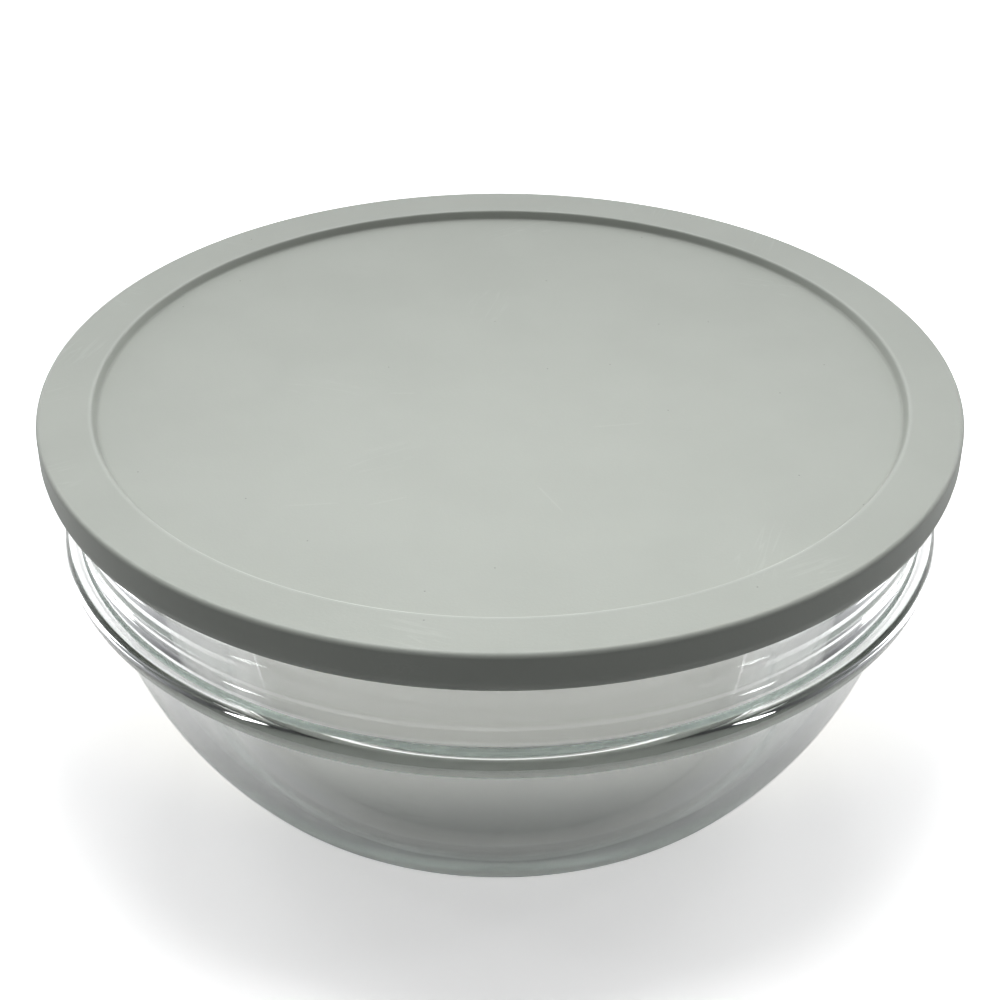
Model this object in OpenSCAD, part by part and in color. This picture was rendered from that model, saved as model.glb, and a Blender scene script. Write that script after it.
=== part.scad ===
// Round glass prep bowl with a stacking ledge, and its press-on plastic lid.
// The origin is the centre of the foot, on the surface that the bowl stands on.
// Millimetres, +Z up. Both pieces are turned shapes: a half section is drawn once and swept round Z.

/* [Glass bowl] */
// Outer diameter of the rim
rim_d = 139; // [126:1:160]
// Height from the foot to the top of the rim
bowl_h = 61.4; // [54:0.2:90]
// Thickness of the glass at the rim, which is rounded over its full width
rim_wall = 2.4; // [1.6:0.1:3.2]
// How much the radius of the band under the rim shrinks towards the ledge
band_taper = 1.1; // [0.6:0.1:2]
// Thickness of the glass in the round body
body_wall = 3; // [2:0.1:4.5]
// Radius of the arc that the outside of the body follows
body_r = 65; // [56:1:95]

/* [Foot] */
// Diameter of the foot, out to where the heel starts to curve
foot_d = 84; // [72:1:94]
// Width of the flat ring that the bowl stands on
foot_ring_w = 4; // [2:0.5:10]
// Rise of the shallow hollow inside the foot ring
foot_hollow_h = 0.8; // [0.4:0.1:2]
// Thickness of the glass from the foot ring up to the floor
floor_t = 4.5; // [3:0.1:8]
// Radius of the heel, outside
heel_r = 14; // [8:0.5:18]
// Radius between floor and body, inside
inner_heel_r = 18; // [10:0.5:24]

/* [Stacking ledge] */
// Depth of the ledge's underside below the top of the rim
ledge_drop = 21.2; // [19:0.1:28]
// How far the ledge stands out of the band above it
ledge_out = 2.6; // [1.6:0.1:3]
// Height of the ledge's upright face, from its underside to the start of its shoulder
ledge_face_h = 0.9; // [0.8:0.1:4]
// Radius of the ledge's shoulder
shoulder_r = 2.1; // [1.6:0.1:2.6]
// Radius of the hollow between the shoulder and the band
shoulder_root_r = 0.8; // [0.6:0.1:1.6]
// Radius of the ledge's lower edge
ledge_edge_r = 0.5; // [0.3:0.1:0.8]
// Radius of the hollow between the ledge's underside and the body
seat_root_r = 0.8; // [0.4:0.1:1.2]
// Gap round the top of the body when it stands in the rim of a like bowl
nest_gap = 0.2; // [0.1:0.05:1]

/* [Lid] */
// Thickness of the lid's sheet
lid_t = 1.4; // [1:0.1:2]
// Height of the skirt's upright wall, from the top of the border to the start of the lip
skirt_h = 4.4; // [3.4:0.1:6]
// Outer radius of the curl that turns the lip in under the skirt
lip_r = 3; // [2.6:0.1:5]
// How far the lip turns in from the face of the skirt
lip_in = 3.2; // [2.2:0.1:4.4]
// Radius of the border's outer edge
border_edge_r = 1.1; // [0.6:0.1:2]
// Depth of the recessed centre panel below the border
recess_h = 1.3; // [1:0.1:2.4]
// Radius of the recess's upper edge
recess_edge_r = 0.45; // [0.2:0.05:0.8]
// Radius between the recess's wall and the panel
recess_root_r = 0.45; // [0.2:0.05:0.8]
// How far the recess's wall leans in between those two radii
recess_lean = 0.3; // [0.1:0.05:1]

/* [Fits] */
// Gap between the rim and the lid's lip, all round
lip_gap = 0.3; // [0.15:0.05:1]
// Gap between the top of the rim and the underside of the lid's border
seat_gap = 0.2; // [0.05:0.05:0.5]
// Gap between the inside of the rim and the outside of the lid's recess
plug_gap = 1.4; // [0.6:0.1:4]

/* [Hidden] */
$fn = 180;

glass_colour = [0.80, 0.86, 0.83, 0.45];
lid_colour = [0.71, 0.73, 0.70];

// How far a cut runs past the face that it opens
overrun = 1;
// How deep two rounds that follow each other cross, so that they never only just touch
lap = 0.01;
// How far the corners of an arc's wedge reach, as a share of the arc's radius
wedge_reach_share = 2;

// Point at a distance from one point towards, or past, another
function towards(from, to, dist) = from + (to - from) / norm(to - from) * dist;

// Point at a height on the straight line through p that runs square to a direction
function on_line(p, square_to, z) = [p[0] - (z - p[1]) * square_to[1] / square_to[0], z];

// Centre, left of the way from a to b, that lies at distance ra from a and rb from b
function centre_between(a, ra, b, rb) =
    let (d = norm(b - a), u = (b - a) / d, s = (ra * ra - rb * rb + d * d) / (2 * d))
    a + s * u + sqrt(ra * ra - s * s) * [-u[1], u[0]];

// Direction square to the straight line that passes between two discs and touches both.
// It points from the first disc to the line; turn is 1 or -1 and picks one of the two lines.
function across(c1, r1, c2, r2, turn) =
    let (v = c2 - c1, a = atan2(v[1], v[0]) + turn * acos((r1 + r2) / norm(v)))
    [cos(a), sin(a)];

// Rim, rounded over its full width
rim_r = rim_d / 2;
rim_inner_r = rim_r - rim_wall;
rim_c = [rim_r - rim_wall / 2, bowl_h - rim_wall / 2];
rim_side = rim_wall / 2 - lap;

// Ledge: the shoulder runs into the hollow above it, and the hollow into the band
band_r = rim_r - band_taper;
ledge_r = band_r + ledge_out;
ledge_z = bowl_h - ledge_drop;
edge_c = [ledge_r - ledge_edge_r, ledge_z + ledge_edge_r];
shoulder_c = [ledge_r - shoulder_r, ledge_z + ledge_face_h];
root_x = band_r + shoulder_root_r;
root_reach = shoulder_r + shoulder_root_r - lap;
root_c = [root_x, shoulder_c[1] + sqrt(pow(root_reach, 2) - pow(root_x - shoulder_c[0], 2))];
shoulder_end = towards(shoulder_c, root_c, shoulder_r);
root_side = shoulder_root_r - lap;
band_out = across(rim_c, rim_side, root_c, root_side, 1);

// Body: one arc from the ledge's underside down to the heel
foot_r = foot_d / 2;
heel_c = [foot_r, heel_r];
step = [rim_inner_r - nest_gap, ledge_z];
body_c = centre_between(heel_c, body_r + lap - heel_r, step, body_r);
heel_end = towards(body_c, heel_c, body_r);
seat_z = ledge_z - seat_root_r;
seat_reach = body_r + seat_root_r - lap;
seat_c = [body_c[0] + sqrt(pow(seat_reach, 2) - pow(seat_z - body_c[1], 2)), seat_z];
seat_end = towards(body_c, seat_c, body_r);

// Inside: an arc about the body's centre, a straight flare up to the rim, and a rounded floor
inner_r = body_r - body_wall;
inner_side = inner_r - lap;
inner_heel_z = floor_t + inner_heel_r;
inner_heel_reach = inner_r + lap - inner_heel_r;
inner_heel_x = body_c[0] + sqrt(pow(inner_heel_reach, 2) - pow(body_c[1] - inner_heel_z, 2));
inner_heel_c = [inner_heel_x, inner_heel_z];
inner_heel_end = towards(body_c, inner_heel_c, inner_r);
flare_in = across(rim_c, rim_side, body_c, inner_side, -1);
flare_touch = rim_c + rim_side * flare_in;
flare_foot = body_c - inner_side * flare_in;
flare_top = on_line(flare_foot, flare_in, bowl_h + overrun);

// Hollow inside the foot ring: a very flat dome
hollow_r = foot_r - foot_ring_w;
hollow_dome_r = (pow(hollow_r, 2) + pow(foot_hollow_h, 2)) / (2 * foot_hollow_h);

// Lid: everything is placed from the rim that it closes
lid_under_z = bowl_h + seat_gap;
lid_z = lid_under_z + lid_t;
lip_end_r = rim_r + lip_gap;
lid_r = lip_end_r + lip_in;
border_c = [lid_r - border_edge_r, lid_z - border_edge_r];

// Lip: the sheet follows an arc in under the skirt and ends in a round tip
lip_c = [lid_r - lip_r, lid_z - skirt_h];
lip_low_z = lip_c[1] - lip_r;
tip_x = lip_end_r + lid_t / 2;
tip_reach = lip_r - lid_t / 2;
tip_c = [tip_x, lip_c[1] - sqrt(pow(tip_reach, 2) - pow(tip_x - lip_c[0], 2))];

// Recess in the lid's top, and the plug that it makes inside the rim
plug_r = rim_inner_r - plug_gap;
recess_r = plug_r - lid_t;
panel_z = lid_z - recess_h;
panel_under_z = panel_z - lid_t;
recess_edge_c = [recess_r + recess_edge_r, lid_z - recess_edge_r];
recess_root_c = [recess_r - recess_lean - recess_root_r, panel_z + recess_root_r];
recess_edge_side = recess_edge_r - lap;
recess_root_side = recess_root_r - lap;
recess_in = across(recess_edge_c, recess_edge_side, recess_root_c, recess_root_side, -1);
plug_edge_r = recess_root_r + lid_t;
plug_edge_c = [plug_r - plug_edge_r, panel_under_z + plug_edge_r];

// Disc about a point
module disc(c, r) {
    translate(c) circle(r = r);
}

// Slice of a disc between the directions of two points, under a third of a turn apart
module wedge(c, r, p, q) {
    intersection() {
        disc(c, r);
        polygon([c, towards(c, p, wedge_reach_share * r), towards(c, q, wedge_reach_share * r)]);
    }
}

// Rectangle between two corners
module block(low, high) {
    translate(low) square(high - low);
}

// Everything inside the bowl's outer surface, as a half section
module bowl_outline() {
    difference() {
        union() {
            polygon([
                [0, 0],
                [foot_r, 0],
                heel_end,
                seat_end,
                seat_c,
                [seat_c[0], ledge_z],
                [edge_c[0], ledge_z],
                [ledge_r, edge_c[1]],
                [ledge_r, shoulder_c[1]],
                shoulder_end,
                root_c,
                root_c - root_side * band_out,
                rim_c + rim_side * band_out,
                rim_c,
                flare_touch,
                [0, flare_touch[1]]
            ]);
            disc(heel_c, heel_r);
            wedge(body_c, body_r, heel_end, seat_end);
            disc(edge_c, ledge_edge_r);
            wedge(shoulder_c, shoulder_r, [ledge_r, shoulder_c[1]], shoulder_end);
            disc(rim_c, rim_wall / 2);
        }
        disc(seat_c, seat_root_r);
        disc(root_c, shoulder_root_r);
    }
}

// The space inside the bowl, as a half section
module bowl_space() {
    polygon([
        [0, floor_t],
        [inner_heel_c[0], floor_t],
        inner_heel_end,
        flare_foot,
        flare_top,
        [0, flare_top[1]]
    ]);
    disc(inner_heel_c, inner_heel_r);
    wedge(body_c, inner_r, inner_heel_end, rim_c);
}

module glass_bowl() {
    color(glass_colour)
    rotate_extrude()
    intersection() {
        difference() {
            bowl_outline();
            bowl_space();
            disc([0, foot_hollow_h - hollow_dome_r], hollow_dome_r);
        }
        block([0, 0], [ledge_r, bowl_h]);
    }
}

// The recess in the lid's top, as a half section
module lid_recess() {
    difference() {
        polygon([
            [0, panel_z],
            [recess_root_c[0], panel_z],
            recess_root_c,
            recess_root_c - recess_root_side * recess_in,
            recess_edge_c + recess_edge_side * recess_in,
            recess_edge_c,
            [recess_edge_c[0], lid_z + overrun],
            [0, lid_z + overrun]
        ]);
        disc(recess_edge_c, recess_edge_r);
    }
    disc(recess_root_c, recess_root_r);
}

// The space under the lid's sheet, round the plug, as a half section
module lid_space() {
    difference() {
        union() {
            block([0, lip_low_z - overrun], [lid_r - lid_t, lid_under_z]);
            block([0, lip_low_z - overrun], [lid_r + overrun, lip_c[1]]);
        }
        block([0, panel_under_z], [plug_edge_c[0], lid_z]);
        block([0, plug_edge_c[1]], [plug_r, lid_z]);
        disc(plug_edge_c, plug_edge_r);
    }
}

// The in-turned lip, as a half section
module lid_lip() {
    difference() {
        wedge(lip_c, lip_r, [lid_r, lip_c[1]], tip_c);
        disc(lip_c, lip_r - lid_t);
    }
    disc(tip_c, lid_t / 2 + lap);
}

module snap_lid() {
    color(lid_colour)
    rotate_extrude() {
        difference() {
            union() {
                block([0, lip_low_z], [lid_r, border_c[1]]);
                block([0, lip_low_z], [border_c[0], lid_z]);
                disc(border_c, border_edge_r);
            }
            lid_recess();
            lid_space();
        }
        lid_lip();
    }
}

glass_bowl();
snap_lid();
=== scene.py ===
# %% [markdown]
# # A glass prep bowl with a press-on lid
# The object is two turned pieces: a clear glass bowl and a grey plastic lid. Their solids come packed as a
# fixed frame, with the lid free to rise. After the camera, each gets a finer skin: the bowl's has the
# solid's own section, and the lid's adds a sharper border edge and a fine line. Then come finishes that are
# made of nodes, a floor and soft lamps.

# %% Load the frame
import math

import bpy
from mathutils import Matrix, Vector


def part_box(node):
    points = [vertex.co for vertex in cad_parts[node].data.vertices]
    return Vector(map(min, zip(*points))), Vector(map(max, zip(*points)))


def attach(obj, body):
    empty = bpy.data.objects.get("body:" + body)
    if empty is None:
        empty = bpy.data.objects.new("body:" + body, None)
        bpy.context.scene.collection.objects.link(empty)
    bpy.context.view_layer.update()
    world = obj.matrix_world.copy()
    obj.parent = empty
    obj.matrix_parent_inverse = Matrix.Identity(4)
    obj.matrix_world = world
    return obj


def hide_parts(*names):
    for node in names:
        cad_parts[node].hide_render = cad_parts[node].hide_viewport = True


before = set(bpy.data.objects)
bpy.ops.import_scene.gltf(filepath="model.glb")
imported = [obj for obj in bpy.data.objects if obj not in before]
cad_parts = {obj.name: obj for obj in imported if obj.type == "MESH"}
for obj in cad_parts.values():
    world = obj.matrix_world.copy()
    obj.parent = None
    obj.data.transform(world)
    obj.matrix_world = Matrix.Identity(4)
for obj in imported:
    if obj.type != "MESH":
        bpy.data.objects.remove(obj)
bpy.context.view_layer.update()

# %% [markdown]
# ## Camera
# The photograph was taken from close by, so near parts look clearly wider than far ones. The lid's ellipses
# fix where the camera stood: a little over four lid radii from the lid's centre, 29 degrees up. It looks a
# few degrees lower than that centre, which puts the bowl in the middle of the picture.

# %% Make the camera
lid_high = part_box("snap_lid")[1]
camera_distance = 4.30 * lid_high.x
camera_elevation = math.radians(29.2)
camera_pitch = math.radians(32.75)
view_angle = math.radians(28.67)

camera_data = bpy.data.cameras.new("camera")
camera_data.sensor_width = 36
camera_data.angle = view_angle
camera = bpy.data.objects.new("camera", camera_data)
camera.location = (
    0,
    -camera_distance * math.cos(camera_elevation),
    lid_high.z + camera_distance * math.sin(camera_elevation),
)
camera.rotation_euler = (math.pi / 2 - camera_pitch, 0, 0)
bpy.context.scene.collection.objects.link(camera)
bpy.context.scene.camera = camera
bpy.context.scene.view_settings.view_transform = "Standard"
print("camera at", [round(x, 4) for x in camera.location], "lens", round(camera_data.lens, 2))

# %% [markdown]
# ## Sections as arcs and lines
# Both pieces are round, so all of their shape is in a half section. A section is kept as runs of points with
# a normal at each. A line's normal is square to it, and an arc's points away from its centre, or to it in a
# hollow. Turned that way, the mesh has exact normals everywhere, which clear glass needs: it bends light by
# its normals, and averaged ones would show every ring of faces.

# %% Helpers for a half section
MM = 0.001
ARC_STEP = math.radians(7)
LONGEST_STEP = 0.9 * MM


def point(r, z):
    """A point of a half section, in millimetres from the axis and from the table."""
    return Vector((r * MM, z * MM))


def angle_of(v):
    return math.atan2(v.y, v.x)


def line(a, b):
    """A straight run; the solid lies left of the way from a to b."""
    way = (b - a).normalized()
    normal = Vector((way.y, -way.x))
    return [(a, normal), (b, normal)]


def arc(centre, radius, start, end):
    """A round run, radius in millimetres: with growing angles the solid is inside the arc, else outside."""
    turn = end - start
    side = 1 if turn > 0 else -1
    length = abs(turn) * radius * MM
    count = max(2, math.ceil(abs(turn) / ARC_STEP), math.ceil(length / LONGEST_STEP))
    run = []
    for i in range(count + 1):
        a = start + turn * i / count
        out = Vector((math.cos(a), math.sin(a)))
        run.append((centre + radius * MM * out, side * out))
    return run


def touch_line(c1, r1, c2, r2, turn):
    """Angle, seen from the first centre, of the line that passes between two discs and touches both."""
    v = (c2 - c1) / MM
    return angle_of(v) + turn * math.acos((r1 + r2) / v.length)


def on_disc(centre, radius, angle):
    return centre + radius * MM * Vector((math.cos(angle), math.sin(angle)))


def leg(long_side, short_side):
    """The other short side of a right triangle."""
    return math.sqrt(long_side**2 - short_side**2)


# %% [markdown]
# ## From section to turned mesh
# Blender could spin the section with its Screw modifier, but that averages the normals again. Instead the
# rings are written out: one vertex for each point and step round the axis, quads between the rings, and a
# single vertex where the section meets the axis. Each face corner then gets the normal of its own run.

# %% Turn a section round Z
TURN_STEPS = 288


def turned(name, runs):
    """A closed mesh object from the runs of a half section that starts and ends on the axis."""
    rings = [runs[0][0][0]]
    strips = []
    for run in runs:
        for (_, n0), (p1, n1) in zip(run, run[1:]):
            rings.append(p1)
            strips.append((n0, n1))
    around = [2 * math.pi * j / TURN_STEPS for j in range(TURN_STEPS)]
    verts = []
    first = []
    for i, p in enumerate(rings):
        first.append(len(verts))
        if i in (0, len(rings) - 1):
            verts.append((0, 0, p.y))
        else:
            verts.extend((p.x * math.cos(a), p.x * math.sin(a), p.y) for a in around)
    faces = []
    normals = []
    for i, (n0, n1) in enumerate(strips):
        for j in range(TURN_STEPS):
            k = (j + 1) % TURN_STEPS
            low = [(first[i] + j, j, n0), (first[i] + k, k, n0)]
            high = [(first[i + 1] + k, k, n1), (first[i + 1] + j, j, n1)]
            if i == 0:
                low = [(first[i], j, n0)]
            if i == len(strips) - 1:
                high = [(first[i + 1], j, n1)]
            corners = low + high
            faces.append([vertex for vertex, _, _ in corners])
            for _, m, n in corners:
                normals.append((n.x * math.cos(around[m]), n.x * math.sin(around[m]), n.y))
    mesh = bpy.data.meshes.new(name)
    mesh.from_pydata(verts, [], faces)
    mesh.polygons.foreach_set("use_smooth", [True] * len(faces))
    mesh.normals_split_custom_set(normals)
    piece = bpy.data.objects.new(name, mesh)
    bpy.context.scene.collection.objects.link(piece)
    print(name, "has", len(rings), "rings and", len(faces), "faces")
    return piece


# %% [markdown]
# ## Glass bowl
# The bowl is pressed in one mould: a round body, a ledge that seats on the rim of a like bowl, an upright
# band and a fire-polished rim. Edges of pressed glass are round, so nearly every corner of the section is an
# arc that touches its neighbours. The sizes are those of the solid in the frame, and each round's centre
# follows from them: a round that touches two others lies at known distances from both.

# %% Sizes of the bowl, in millimetres
rim_r = 69.5
bowl_h = 61.4
rim_wall = 2.4
band_taper = 1.1
body_wall = 3
body_r = 65
foot_r = 42
foot_ring_w = 4
foot_hollow_h = 0.8
floor_t = 4.5
heel_r = 14
inner_heel_r = 18
ledge_drop = 21.2
ledge_out = 2.6
ledge_face_h = 0.9
shoulder_r = 2.1
root_r = 0.8
edge_r = 0.5
seat_r = 0.8
nest_gap = 0.2
print("bowl", 2 * rim_r, "mm across the rim and", bowl_h, "mm high")


# %% Centres of the bowl's rounds
def centre_between(a, ra, b, rb):
    """The point left of the way from a to b that lies ra from a and rb from b, in millimetres."""
    way = (b - a) / MM
    d = way.length
    u = way / d
    s = (ra**2 - rb**2 + d**2) / (2 * d)
    return a + MM * (s * u + leg(ra, s) * Vector((-u.y, u.x)))


rim_inner_r = rim_r - rim_wall
rim_c = point(rim_r - rim_wall / 2, bowl_h - rim_wall / 2)
band_r = rim_r - band_taper
ledge_r = band_r + ledge_out
ledge_z = bowl_h - ledge_drop
edge_c = point(ledge_r - edge_r, ledge_z + edge_r)
shoulder_c = point(ledge_r - shoulder_r, ledge_z + ledge_face_h)
root_x = band_r + root_r
root_rise = leg(shoulder_r + root_r, root_x - (ledge_r - shoulder_r))
root_c = point(root_x, ledge_z + ledge_face_h + root_rise)
heel_c = point(foot_r, heel_r)
step = point(rim_inner_r - nest_gap, ledge_z)
body_c = centre_between(heel_c, body_r - heel_r, step, body_r)
body_x, body_z = body_c / MM
seat_z = ledge_z - seat_r
seat_c = point(body_x + leg(body_r + seat_r, seat_z - body_z), seat_z)
inner_r = body_r - body_wall
inner_heel_z = floor_t + inner_heel_r
inner_heel_c = point(body_x + leg(inner_r - inner_heel_r, body_z - inner_heel_z), inner_heel_z)
print("ledge from", round(ledge_z, 2), "to", round(root_c.y / MM, 2), "mm up")


# %% Draw the bowl's section
def bowl_section():
    rim_round = rim_wall / 2
    band = touch_line(rim_c, rim_round, root_c, root_r, 1)
    flare = touch_line(rim_c, rim_round, body_c, inner_r, -1) + 2 * math.pi
    body_low = angle_of(heel_c - body_c)
    body_high = angle_of(seat_c - body_c)
    root_low = angle_of(shoulder_c - root_c) + 2 * math.pi
    inner_low = angle_of(inner_heel_c - body_c)
    hollow_r = foot_r - foot_ring_w
    dome_r = (hollow_r**2 + foot_hollow_h**2) / (2 * foot_hollow_h)
    dome_edge = math.acos(hollow_r / dome_r)
    return [
        arc(point(0, foot_hollow_h - dome_r), dome_r, math.pi / 2, dome_edge),
        line(point(hollow_r, 0), point(foot_r, 0)),
        arc(heel_c, heel_r, -math.pi / 2, body_low),
        arc(body_c, body_r, body_low, body_high),
        arc(seat_c, seat_r, body_high + math.pi, math.pi / 2),
        line(seat_c + point(0, seat_r), edge_c - point(0, edge_r)),
        arc(edge_c, edge_r, -math.pi / 2, 0),
        line(edge_c + point(edge_r, 0), shoulder_c + point(shoulder_r, 0)),
        arc(shoulder_c, shoulder_r, 0, root_low - math.pi),
        arc(root_c, root_r, root_low, band + math.pi),
        line(on_disc(root_c, root_r, band + math.pi), on_disc(rim_c, rim_round, band)),
        arc(rim_c, rim_round, band, flare),
        line(on_disc(rim_c, rim_round, flare), on_disc(body_c, inner_r, flare - math.pi)),
        arc(body_c, inner_r, flare - math.pi, inner_low),
        arc(inner_heel_c, inner_heel_r, inner_low, -math.pi / 2),
        line(point(inner_heel_c.x / MM, floor_t), point(0, floor_t)),
    ]


bowl = turned("bowl_glass", bowl_section())

# %% [markdown]
# ## Lid
# The lid is one injection-moulded sheet. Its top has a flat border round a shallow recessed panel, and its
# skirt turns in under the bowl's rim. The two halves of the mould meet low on the skirt, where a real lid
# shows a fine line. A painted line would keep its tone in any light, so the lip is truly set back by a few
# hundredths of a millimetre, and the narrow face above it looks down and catches light from the floor.

# %% Sizes of the lid, in millimetres
lid_t = 1.4
skirt_h = 4.4
lip_r = 3
lip_in = 3.2
border_r = 0.7
recess_h = 1.3
recess_edge_r = 0.45
recess_root_r = 0.45
recess_lean = 0.3
lip_gap = 0.3
seat_gap = 0.2
plug_gap = 1.4
mould_line_drop = 4.3
mould_step = 0.06
print("lid sheet", lid_t, "mm thick, its lip", lip_gap, "mm clear of the rim")

# %% Centres of the lid's rounds
under_z = bowl_h + seat_gap
lid_z = under_z + lid_t
lip_end_r = rim_r + lip_gap
lid_r = lip_end_r + lip_in
border_c = point(lid_r - border_r, lid_z - border_r)
lip_c = point(lid_r - lip_r, lid_z - skirt_h)
lip_out = lip_r - mould_step
tip_r = (lid_t - mould_step) / 2
tip_x = lip_end_r + tip_r
tip_c = point(tip_x, lid_z - skirt_h - leg(lip_out - tip_r, tip_x - (lid_r - lip_r)))
plug_r = rim_inner_r - plug_gap
recess_r = plug_r - lid_t
panel_z = lid_z - recess_h
recess_edge_c = point(recess_r + recess_edge_r, lid_z - recess_edge_r)
recess_root_c = point(recess_r - recess_lean - recess_root_r, panel_z + recess_root_r)
plug_edge_r = recess_root_r + lid_t
plug_edge_c = point(plug_r - plug_edge_r, panel_z - lid_t + plug_edge_r)
print("lid", round(2 * lid_r, 2), "mm across, top at", round(lid_z, 2))


# %% Draw the lid's section
def lid_section():
    plug_high = math.asin((under_z - plug_edge_c.y / MM) / plug_edge_r)
    tip = angle_of(tip_c - lip_c)
    slope = touch_line(recess_edge_c, recess_edge_r, recess_root_c, recess_root_r, -1) % (2 * math.pi)
    inner_corner = point(lid_r - lid_t, under_z)
    line_high = point(lid_r, lid_z - mould_line_drop)
    line_low = line_high - point(mould_step, mould_step)
    return [
        line(point(0, panel_z - lid_t), point(plug_edge_c.x / MM, panel_z - lid_t)),
        arc(plug_edge_c, plug_edge_r, -math.pi / 2, plug_high),
        line(on_disc(plug_edge_c, plug_edge_r, plug_high), inner_corner),
        line(inner_corner, lip_c + point(lip_r - lid_t, 0)),
        arc(lip_c, lip_r - lid_t, 0, tip),
        arc(tip_c, tip_r, tip + math.pi, tip + 2 * math.pi),
        arc(lip_c, lip_out, tip, 0),
        line(lip_c + point(lip_out, 0), line_low),
        line(line_low, line_high),
        line(line_high, border_c + point(border_r, 0)),
        arc(border_c, border_r, 0, math.pi / 2),
        line(border_c + point(0, border_r), recess_edge_c + point(0, recess_edge_r)),
        arc(recess_edge_c, recess_edge_r, math.pi / 2, slope),
        line(
            on_disc(recess_edge_c, recess_edge_r, slope),
            on_disc(recess_root_c, recess_root_r, slope - math.pi),
        ),
        arc(recess_root_c, recess_root_r, slope - math.pi, -math.pi / 2),
        line(point(recess_root_c.x / MM, panel_z), point(0, panel_z)),
    ]


lid = turned("lid_shell", lid_section())

# %% [markdown]
# ## Building node trees
# A material is a tree of nodes. One helper adds a node, sets its options, and for each input either types
# in a constant or links the socket that is given, so a finish reads as a short list of what feeds what.
# Another makes a soft step, the most used shape for masks.


# %% Helpers for nodes
def srgb(*channels):
    """A colour as a screen shows it, from 0 to 255, as the linear colour that a shader takes."""
    shares = [c / 255 for c in channels]
    return (*[s / 12.92 if s <= 0.04045 else ((s + 0.055) / 1.055) ** 2.4 for s in shares], 1)


def put(tree, kind, inputs=None, **options):
    """Adds a shader node; an input is a constant or another node's output socket."""
    node = tree.nodes.new("ShaderNode" + kind)
    for name, value in options.items():
        setattr(node, name, value)
    for key, value in (inputs or {}).items():
        if isinstance(value, bpy.types.NodeSocket):
            tree.links.new(value, node.inputs[key])
        else:
            node.inputs[key].default_value = value
    return node


def math_of(tree, operation, *values, clamp=False):
    return put(tree, "Math", dict(enumerate(values)), operation=operation, use_clamp=clamp).outputs[0]


def soft_step(tree, value, low, high, start=0.0, end=1.0):
    """Goes smoothly from start to end as the value goes from low to high."""
    bounds = {"Value": value, "From Min": low, "From Max": high, "To Min": start, "To Max": end}
    return put(tree, "MapRange", bounds, interpolation_type="SMOOTHSTEP").outputs["Result"]


def blend(tree, factor, a, b):
    mix = put(tree, "Mix", data_type="RGBA")
    for key, value in (("Factor", factor), ("A", a), ("B", b)):
        if isinstance(value, bpy.types.NodeSocket):
            tree.links.new(value, mix.inputs[key])
        else:
            mix.inputs[key].default_value = value
    return mix.outputs["Result"]


def new_group(name, inputs, outputs):
    """A node group with number sockets; gives its tree, its inputs and a way to fill its outputs."""
    tree = bpy.data.node_groups.new(name, "ShaderNodeTree")
    for socket_name, default in inputs.items():
        socket = tree.interface.new_socket(socket_name, in_out="INPUT", socket_type="NodeSocketFloat")
        socket.default_value = default
    for socket_name in outputs:
        tree.interface.new_socket(socket_name, in_out="OUTPUT", socket_type="NodeSocketFloat")
    return tree, tree.nodes.new("NodeGroupInput").outputs, tree.nodes.new("NodeGroupOutput").inputs


def new_material(name):
    material = bpy.data.materials.new(name)
    material.use_nodes = True
    tree = material.node_tree
    return material, tree, tree.nodes["Principled BSDF"].inputs, tree.nodes["Material Output"].inputs


# %% [markdown]
# ## Handling marks
# Years of hands, sinks and shelves leave the same marks on glass and on plastic: soft smudges, and a few
# hairline scratches that lie together. Smudges are plain noise. A scratch is the line where a strongly
# stretched noise passes its middle value, kept only inside some patches. Both materials use the group, each
# with its own sizes.

# %% Group: handling marks
SCRATCH_TURNS = (0.35, -0.5, 1.9)
SCRATCH_HALF_WIDTH = 0.035
SMUDGE_RANGE = (0.42, 0.68)
PATCH_RANGE = (0.73, 0.83)

marks, given, result = new_group(
    "handling_marks",
    {"Patch Size": 0.02, "Scratch Length": 0.02, "Scratch Gap": 0.002},
    ("Smudge", "Scratch"),
)
place = put(marks, "TexCoord").outputs["Object"]
patch_scale = math_of(marks, "DIVIDE", 1.0, given["Patch Size"])
cloud = put(marks, "TexNoise", {"Vector": place, "Scale": patch_scale, "Detail": 3.0}).outputs[0]
marks.links.new(soft_step(marks, cloud, *SMUDGE_RANGE), result["Smudge"])

along = math_of(marks, "DIVIDE", 1.0, given["Scratch Length"])
beside = math_of(marks, "DIVIDE", 1.0, given["Scratch Gap"])
stretch = put(marks, "CombineXYZ", {0: along, 1: beside, 2: beside}).outputs[0]
scratches = None
for turn in SCRATCH_TURNS:
    spun = put(marks, "VectorRotate", {"Vector": place, "Angle": turn}, rotation_type="Z_AXIS").outputs[0]
    drawn = put(marks, "VectorMath", {0: spun, 1: stretch}, operation="MULTIPLY").outputs[0]
    grain = put(marks, "TexNoise", {"Vector": drawn, "Scale": 1.0, "Detail": 1.0}).outputs[0]
    off = math_of(marks, "ABSOLUTE", math_of(marks, "SUBTRACT", grain, 0.5))
    thread = soft_step(marks, off, 0.0, SCRATCH_HALF_WIDTH, 1.0, 0.0)
    patch = put(marks, "TexNoise", {"Vector": spun, "Scale": along, "Detail": 0.0}).outputs[0]
    layer = math_of(marks, "MULTIPLY", thread, soft_step(marks, patch, *PATCH_RANGE))
    scratches = layer if scratches is None else math_of(marks, "MAXIMUM", scratches, layer)
marks.links.new(scratches, result["Scratch"])
print("handling_marks has", len(marks.nodes), "nodes")

# %% [markdown]
# ## Mould waves
# Neither pressed glass nor a moulded sheet is truly even: glass chills in slow waves, and a plastic sheet
# sinks a little as it cools. Both are a slow noise that tilts the surface, given here as a height.

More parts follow.
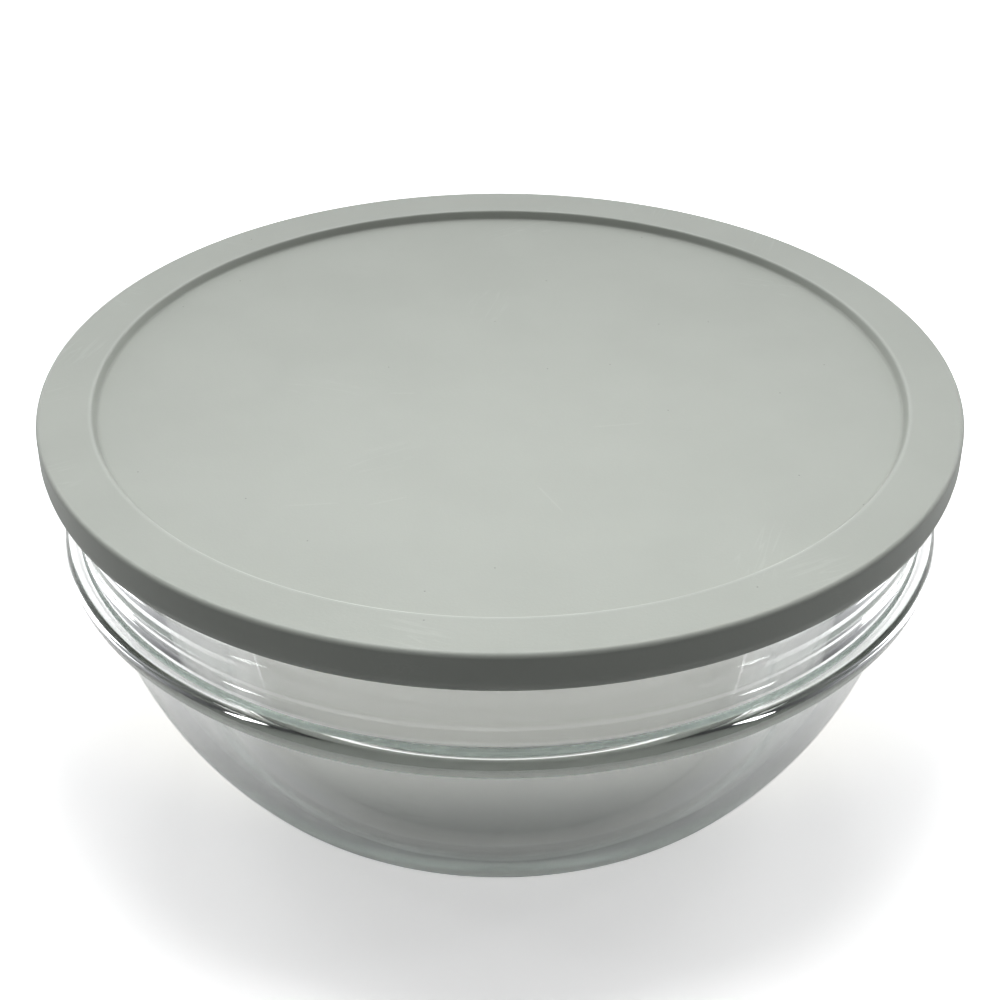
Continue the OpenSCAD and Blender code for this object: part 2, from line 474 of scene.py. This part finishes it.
# %% Group: mould waves
waves, given, result = new_group("mould_waves", {"Wave Length": 0.02, "Depth": 0.0001}, ("Height",))
place = put(waves, "TexCoord").outputs["Object"]
wave_scale = math_of(waves, "DIVIDE", 1.0, given["Wave Length"])
swell = put(waves, "TexNoise", {"Vector": place, "Scale": wave_scale, "Detail": 1.0}).outputs[0]
waves.links.new(math_of(waves, "MULTIPLY", swell, given["Depth"]), result["Height"])
print("mould_waves has", len(waves.nodes), "nodes")


def use_group(tree, group, **values):
    """Places a group in a material with its own values."""
    node = put(tree, "Group", node_tree=group)
    for name, value in values.items():
        node.inputs[name.replace("_", " ").title()].default_value = value
    return node.outputs


# %% [markdown]
# ## Clear glass
# Tempered soda-lime glass is almost clear: its faint green shows only where light runs a long way inside it,
# as in the ledge. That is a volume that absorbs a little, not a coloured surface. The smooth surface is one
# glass shader, made uneven by the mould waves, and a trace duller where it was handled. Heel and foot slide
# over tables and sinks, so they are worn matt outside. A mask by height and by distance from the heel's
# centre puts that wear where the section says, with no picture to wrap round the bowl.

# %% Material: clear glass
GLASS_IOR = 1.5
GLASS_GREEN = (0.45, 0.8, 0.6, 1)
GLASS_ABSORPTION = 2.5
GLASS_CLEAN = (0.985, 0.992, 0.988, 1)
GLASS_HANDLED = (0.95, 0.955, 0.952, 1)
SMUDGE_SHARE = 0.4
FILM_ROUGHNESS = 0.03
FOOT_WEAR = 0.24
FOOT_WEAR_LOW = 0.006
FOOT_WEAR_HIGH = 0.014
HEEL_SKIN = 0.0008

glass, tree, surface, output = new_material("clear_glass")
marked = use_group(tree, marks, patch_size=0.03, scratch_length=0.03, scratch_gap=0.003)
wavy = use_group(tree, waves, wave_length=0.016, depth=0.00005)
smudge = math_of(tree, "MULTIPLY", marked["Smudge"], SMUDGE_SHARE)
film = math_of(tree, "MAXIMUM", smudge, marked["Scratch"])
tree.links.new(blend(tree, film, GLASS_CLEAN, GLASS_HANDLED), surface["Base Color"])
place = put(tree, "TexCoord").outputs["Object"]
flat_place = put(tree, "VectorMath", {0: place, 1: (1, 1, 0)}, operation="MULTIPLY").outputs[0]
radius = put(tree, "VectorMath", {0: flat_place}, operation="LENGTH").outputs["Value"]
height = put(tree, "SeparateXYZ", {0: place}).outputs["Z"]
beside = math_of(tree, "SUBTRACT", radius, heel_c.x)
above = math_of(tree, "SUBTRACT", height, heel_c.y)
in_section = put(tree, "CombineXYZ", {0: beside, 1: above}).outputs[0]
reach = put(tree, "VectorMath", {0: in_section}, operation="LENGTH").outputs["Value"]
outside = soft_step(tree, reach, heel_r * MM - 2 * HEEL_SKIN, heel_r * MM - HEEL_SKIN)
low = soft_step(tree, height, FOOT_WEAR_LOW, FOOT_WEAR_HIGH, FOOT_WEAR, 0.0)
wear = math_of(tree, "MULTIPLY", low, outside)
tree.links.new(math_of(tree, "MULTIPLY_ADD", film, FILM_ROUGHNESS, wear), surface["Roughness"])
bump = put(tree, "Bump", {"Strength": 1.0, "Distance": 1.0, "Height": wavy["Height"]})
tree.links.new(bump.outputs[0], surface["Normal"])
surface["IOR"].default_value = GLASS_IOR
surface["Transmission Weight"].default_value = 1
tint = put(tree, "VolumeAbsorption", {"Color": GLASS_GREEN, "Density": GLASS_ABSORPTION})
tree.links.new(tint.outputs[0], output["Volume"])
bowl.data.materials.append(glass)
print("clear_glass has", len(tree.nodes), "nodes")

# %% [markdown]
# ## Grey plastic
# The lid is satin polyethylene in a light, slightly green grey. Close up it has a fine moulded grain, a
# faint cloudiness in its colour, a few dark specks in the melt and pale hairline scratches. Round the
# recess a painted highlight makes the crest paler, and painted shade darkens the corner. A picture
# could hold all of that, but would blur close up. Here the rings are masks by radius, from the section's
# own sizes, and the grain and waves are heights for one Bump node, so light finds them.

# %% Grey plastic: cloudy colour and specks
PLASTIC_DARK = srgb(182, 187, 179)
PLASTIC_LIGHT = srgb(185, 190, 182)
PLASTIC_SPECK = srgb(96, 98, 92)
CLOUD_SCALE = 60.0
CLOUD_RANGE = (0.3, 0.7)
SPECK_GAP = 0.009
SPECK_SIZE = 0.018
SPECK_CORE = 0.4
SPECK_DEPTH = 0.6
SPECK_SHARE = 0.86

plastic, tree, surface, output = new_material("grey_plastic")
place = put(tree, "TexCoord").outputs["Object"]
cloud = put(tree, "TexNoise", {"Vector": place, "Scale": CLOUD_SCALE, "Detail": 4.0}).outputs[0]
colour = blend(tree, soft_step(tree, cloud, *CLOUD_RANGE), PLASTIC_DARK, PLASTIC_LIGHT)
cells = put(tree, "TexVoronoi", {"Vector": place, "Scale": 1 / SPECK_GAP}, voronoi_dimensions="2D")
chosen = put(tree, "SeparateColor", {0: cells.outputs["Color"]}).outputs[0]
rare = math_of(tree, "GREATER_THAN", chosen, SPECK_SHARE)
core = SPECK_SIZE * SPECK_CORE
speck = soft_step(tree, cells.outputs["Distance"], core, SPECK_SIZE, SPECK_DEPTH, 0.0)
colour = blend(tree, math_of(tree, "MULTIPLY", speck, rare), colour, PLASTIC_SPECK)
print("about one cell in", round(1 / (1 - SPECK_SHARE)), "holds a speck")

# %% One single hairline
HAIRLINE_HALF_WIDTH = 0.00025
HAIRLINE_FADE = (0.3, 0.5)


def hairline(x, y, turn, length):
    """Mask of one straight scratch on the lid's panel, by its middle, turn and length, in millimetres."""
    middle = (x * MM, y * MM, panel_z * MM)
    beside = put(tree, "VectorMath", {0: place, 1: middle}, operation="SUBTRACT").outputs[0]
    spun = put(tree, "VectorRotate", {"Vector": beside, "Angle": -turn}, rotation_type="Z_AXIS").outputs[0]
    across = put(tree, "VectorMath", {0: spun, 1: (0, 1, 1)}, operation="MULTIPLY").outputs[0]
    off = put(tree, "VectorMath", {0: across}, operation="LENGTH").outputs["Value"]
    thread = soft_step(tree, off, 0.0, HAIRLINE_HALF_WIDTH, 1.0, 0.0)
    along = math_of(tree, "ABSOLUTE", put(tree, "SeparateXYZ", {0: spun}).outputs["X"])
    fade = [share * length * MM for share in HAIRLINE_FADE]
    return math_of(tree, "MULTIPLY", thread, soft_step(tree, along, *fade, 1.0, 0.0))


# %% Grey plastic: scratches, painted crest highlight and painted recess shade
# Pale colour for the real hairline scratches and for the crest's painted highlight
PLASTIC_SCRATCH_AND_HIGHLIGHT = srgb(206, 211, 204)
# Painted shade colour for the recess's corner
PLASTIC_PAINTED_SHADE = srgb(118, 120, 112)
SCRATCH_DEPTH = 0.22
# Each hairline's middle, across and along, its turn in radians and its length
HAIRLINES = (
    (-27.5, -35.1, 0.1, 9),
    (-16.5, -34.2, 0.36, 7),
    (7.3, -33.5, -1.1, 9),
    (18.3, -12.4, 0.15, 9),
    (-15.6, -2.4, 0.0, 5),
)
CREST_HIGHLIGHT_HALF_WIDTH = 0.0005
CREST_HIGHLIGHT_DEPTH = 0.35
RECESS_SHADE_HALF_WIDTH = 0.0008
RECESS_SHADE_DEPTH = 0.3

marked = use_group(tree, marks, patch_size=0.025, scratch_length=0.02, scratch_gap=0.0014)
flat_place = put(tree, "VectorMath", {0: place, 1: (1, 1, 0)}, operation="MULTIPLY").outputs[0]
radius = put(tree, "VectorMath", {0: flat_place}, operation="LENGTH").outputs["Value"]
# Painted highlight: a pale ring on the recess's crest stands in for light on its round edge
from_crest = math_of(tree, "ABSOLUTE", math_of(tree, "SUBTRACT", radius, recess_edge_c.x))
painted_crest_highlight = soft_step(tree, from_crest, 0.0, CREST_HIGHLIGHT_HALF_WIDTH, CREST_HIGHLIGHT_DEPTH, 0.0)
scratched = marked["Scratch"]
for x, y, turn, length in HAIRLINES:
    scratched = math_of(tree, "MAXIMUM", scratched, hairline(x, y, turn, length))
scratch_and_highlight = math_of(tree, "MAXIMUM", painted_crest_highlight, math_of(tree, "MULTIPLY", scratched, SCRATCH_DEPTH))
colour = blend(tree, scratch_and_highlight, colour, PLASTIC_SCRATCH_AND_HIGHLIGHT)
# Painted shade: a dark ring in the recess's corner, where the recess wall lies in shade
corner_r = (recess_r - recess_lean) * MM
from_corner = math_of(tree, "ABSOLUTE", math_of(tree, "SUBTRACT", radius, corner_r))
painted_recess_shade = soft_step(tree, from_corner, 0.0, RECESS_SHADE_HALF_WIDTH, RECESS_SHADE_DEPTH, 0.0)
tree.links.new(blend(tree, painted_recess_shade, colour, PLASTIC_PAINTED_SHADE), surface["Base Color"])
print("single hairlines:", len(HAIRLINES), "and grime at", round(1000 * corner_r, 2), "mm from the axis")

# %% Grey plastic: grain and satin
PLASTIC_SPECULAR = 0.35
SATIN_CLEAN = 0.52
SATIN_HANDLED = 0.49
GRAIN_SIZE = 0.0004
GRAIN_DEPTH = 0.000012
GRAIN_ROUGHNESS = 0.06

wavy = use_group(tree, waves, wave_length=0.03, depth=0.00001)
grain = put(tree, "TexNoise", {"Vector": place, "Scale": 1 / GRAIN_SIZE, "Detail": 2.0}).outputs[0]
height = math_of(tree, "MULTIPLY_ADD", grain, GRAIN_DEPTH, wavy["Height"])
bump = put(tree, "Bump", {"Strength": 1.0, "Distance": 1.0, "Height": height})
tree.links.new(bump.outputs[0], surface["Normal"])
satin = soft_step(tree, marked["Smudge"], 0.0, 1.0, SATIN_CLEAN, SATIN_HANDLED)
tree.links.new(math_of(tree, "MULTIPLY_ADD", grain, GRAIN_ROUGHNESS, satin), surface["Roughness"])
surface["Specular IOR Level"].default_value = PLASTIC_SPECULAR
lid.data.materials.append(plastic)
print("grey_plastic has", len(tree.nodes), "nodes")

# %% [markdown]
# ## Riding on the bodies
# Each skin stands for its solid and moves with that solid's body, so the lid comes off with the joint.

# %% Ride on the bodies
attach(bowl, "bowl")
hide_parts("glass_bowl")
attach(lid, "lid")
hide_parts("snap_lid")
print("bowl_glass rides on bowl, lid_shell on lid")

# %% [markdown]
# ## Floor
# The bowl stands on white paper. To the camera, and through or in the glass, the paper is white with the
# bowl's soft shadow. A white floor would also throw much light up at the lid's skirt, which is dark in the
# photograph, so for light that only bounces off it the paper is a mid grey. More lamps could make the far
# paper pure white, but would light the bowl too. Instead what is seen of it is lifted by distance: little in
# the deep shadow that shows through the glass, more in the open shadow beside it, and most outside. A faint
# warm painted light glows in the paper under the bowl, in place of light that the glass would gather.

# %% Pale floor
FLOOR_HALF = 12.0
FLOOR_Z = -0.0001

corners = [(x * FLOOR_HALF, y * FLOOR_HALF, FLOOR_Z) for x, y in ((-1, -1), (1, -1), (1, 1), (-1, 1))]
mesh = bpy.data.meshes.new("floor")
mesh.from_pydata(corners, [], [(0, 1, 2, 3)])
floor = bpy.data.objects.new("floor", mesh)
bpy.context.scene.collection.objects.link(floor)
print("floor", 2 * FLOOR_HALF, "m wide")

# %% Material: floor paper
PAPER_ROUGHNESS = 0.9
PAPER_SEEN = 0.92
PAPER_BOUNCE = 0.3
PAPER_LIFT_NEAR = 0.04
PAPER_LIFT_BESIDE = 0.5
PAPER_LIFT_FAR = 0.8
PAPER_LIFT_THROUGH = 0.6
SHADOW_NEAR = 0.05
SHADOW_FAR = 0.125
PAPER_PAINTED_GLOW = 0.25
PAINTED_GLOW_TINT = (1, 0.985, 0.92, 1)
PAINTED_GLOW_REACH = (0.5, 1.05, 1)
PAINTED_GLOW_NEAR = 0.02
PAINTED_GLOW_FAR = 0.046

paper, tree, surface, output = new_material("floor_paper")
surface["Roughness"].default_value = PAPER_ROUGHNESS
surface["Specular IOR Level"].default_value = 0.0
path = put(tree, "LightPath").outputs
seen = math_of(tree, "ADD", path["Is Camera Ray"], path["Is Glossy Ray"])
seen = math_of(tree, "ADD", seen, path["Is Transmission Ray"], clamp=True)
shade = blend(tree, seen, (*[PAPER_BOUNCE] * 3, 1), (*[PAPER_SEEN] * 3, 1))
tree.links.new(shade, surface["Base Color"])
place = put(tree, "TexCoord").outputs["Object"]
away = put(tree, "VectorMath", {0: place}, operation="LENGTH").outputs["Value"]
open_lift = PAPER_LIFT_BESIDE - PAPER_LIFT_NEAR
near = math_of(tree, "MULTIPLY_ADD", path["Is Camera Ray"], open_lift, PAPER_LIFT_NEAR)
glass_drop = PAPER_LIFT_THROUGH - PAPER_LIFT_FAR
far = math_of(tree, "MULTIPLY_ADD", path["Is Transmission Ray"], glass_drop, PAPER_LIFT_FAR)
lift = soft_step(tree, away, SHADOW_NEAR, SHADOW_FAR, near, far)
# Painted light: a faint warm glow in the paper under the bowl, in place of light gathered by the glass
oval = put(tree, "VectorMath", {0: place, 1: PAINTED_GLOW_REACH}, operation="MULTIPLY").outputs[0]
from_middle = put(tree, "VectorMath", {0: oval}, operation="LENGTH").outputs["Value"]
painted_glow = soft_step(tree, from_middle, PAINTED_GLOW_NEAR, PAINTED_GLOW_FAR)
tree.links.new(blend(tree, painted_glow, PAINTED_GLOW_TINT, (1, 1, 1, 1)), surface["Emission Color"])
lift = math_of(tree, "ADD", lift, math_of(tree, "MULTIPLY_ADD", painted_glow, -PAPER_PAINTED_GLOW, PAPER_PAINTED_GLOW))
tree.links.new(math_of(tree, "MULTIPLY", seen, lift), surface["Emission Strength"])
floor.data.materials.append(paper)
print("floor_paper has", len(tree.nodes), "nodes")

# %% [markdown]
# ## Light
# The key is a small lamp close overhead, a little to the front, with its beam narrowed as by a grid: the lid
# is brightest there and fades to its far edge, and its upright faces stay dark. A narrow strip high behind
# draws the bright line along the ledge, lower boxes at the back corners and sides light the glass through
# from behind, and two small lamps high at the sides put sparkles on the ledge. One big lamp would be
# simpler, but would leave the glass flat. Round the sides and back a pale wall fills the glass, and the
# front stays dark. Seen directly, beyond the edge of the paper, the surroundings are as white as the paper.


# %% Lamps
def softbox(name, place, aim, size, power, spread=180):
    """A lit rectangle that faces a point: metres, watts, and the spread of its beam in degrees."""
    data = bpy.data.lights.new(name, "AREA")
    data.spread = math.radians(spread)
    data.shape = "RECTANGLE"
    data.size, data.size_y = size
    data.energy = power
    lamp = bpy.data.objects.new(name, data)
    lamp.location = place
    lamp.rotation_euler = (Vector(aim) - Vector(place)).to_track_quat("-Z", "Y").to_euler()
    bpy.context.scene.collection.objects.link(lamp)
    return lamp


middle = (0, 0, 0.05)
lid_middle = (0, 0, 0.06)
lid_front = (0, -0.042, 0.06)
softbox("top_lamp", place=(0, -0.042, 0.35), aim=lid_front, size=(0.1, 0.06), power=0.049, spread=64)
back_strip = softbox("back_strip", place=(0, 1.2, 1.75), aim=middle, size=(1.6, 0.28), power=10.0)
back_strip.visible_transmission = False
for name, side in (("left", -1), ("right", 1)):
    softbox(name + "_back_box", place=(side * 0.36, 1.6, 1.1), aim=middle, size=(0.35, 0.4), power=2.0)
    softbox(name + "_box", place=(side * 0.95, 0.95, 0.62), aim=lid_middle, size=(0.5, 1.0), power=5.0)
    softbox(name + "_spark", place=(side * 0.95, -0.14, 1.07), aim=middle, size=(0.14, 0.2), power=0.7)
print("lamps:", ", ".join(sorted(lamp.name for lamp in bpy.data.lights)))

# %% Pale wall round the back
WALL_LOW = 1.0
WALL_MID = 0.5
WALL_HIGH = 0.3
WALL_LOW_RANGE = (0.1, 0.4)
WALL_HIGH_RANGE = (0.62, 0.8)
WALL_TURN = (0.0, 0.6)
WALL_SIDE_SHARE = 0.15
WALL_BACK_EDGE = (0.065, 0.085)
WALL_BACK = (1.0, 0.975, 0.93, 1)
WALL_SIDE = (0.94, 0.945, 1.0, 1)
FRONT_GLOW = 0.005

world = bpy.data.worlds.new("pale_wall")
world.use_nodes = True
bpy.context.scene.world = world
tree = world.node_tree
sky = tree.nodes["Background"].inputs
where = put(tree, "SeparateXYZ", {0: put(tree, "TexCoord").outputs["Generated"]}).outputs
wall = soft_step(tree, where["Z"], *WALL_LOW_RANGE, WALL_LOW, WALL_MID)
wall = math_of(tree, "MULTIPLY", wall, soft_step(tree, where["Z"], *WALL_HIGH_RANGE, 1.0, WALL_HIGH))
behind = soft_step(tree, where["Y"], *WALL_TURN, WALL_SIDE_SHARE, 1.0)
aside = soft_step(tree, math_of(tree, "ABSOLUTE", where["X"]), *WALL_BACK_EDGE)
colour = blend(tree, aside, WALL_BACK, WALL_SIDE)
strength = math_of(tree, "MULTIPLY_ADD", wall, behind, FRONT_GLOW)
direct = put(tree, "LightPath").outputs["Is Camera Ray"]
tree.links.new(blend(tree, direct, colour, (1, 1, 1, 1)), sky["Color"])
tree.links.new(math_of(tree, "MAXIMUM", strength, direct), sky["Strength"])
print("pale_wall has", len(tree.nodes), "nodes")

# %% [markdown]
# ## Light inside the glass
# A thick glass edge leads light along like a pipe: a ray is thrown to and fro many times before it gets out.
# With the usual limit of twelve turns such a ray ends black, so the limit is raised.

# %% Let light travel on in the glass
TURNS_OF_LIGHT = 32

paths = bpy.context.scene.cycles
paths.max_bounces = TURNS_OF_LIGHT
paths.transmission_bounces = TURNS_OF_LIGHT
paths.glossy_bounces = TURNS_OF_LIGHT
print("light may turn", paths.max_bounces, "times")
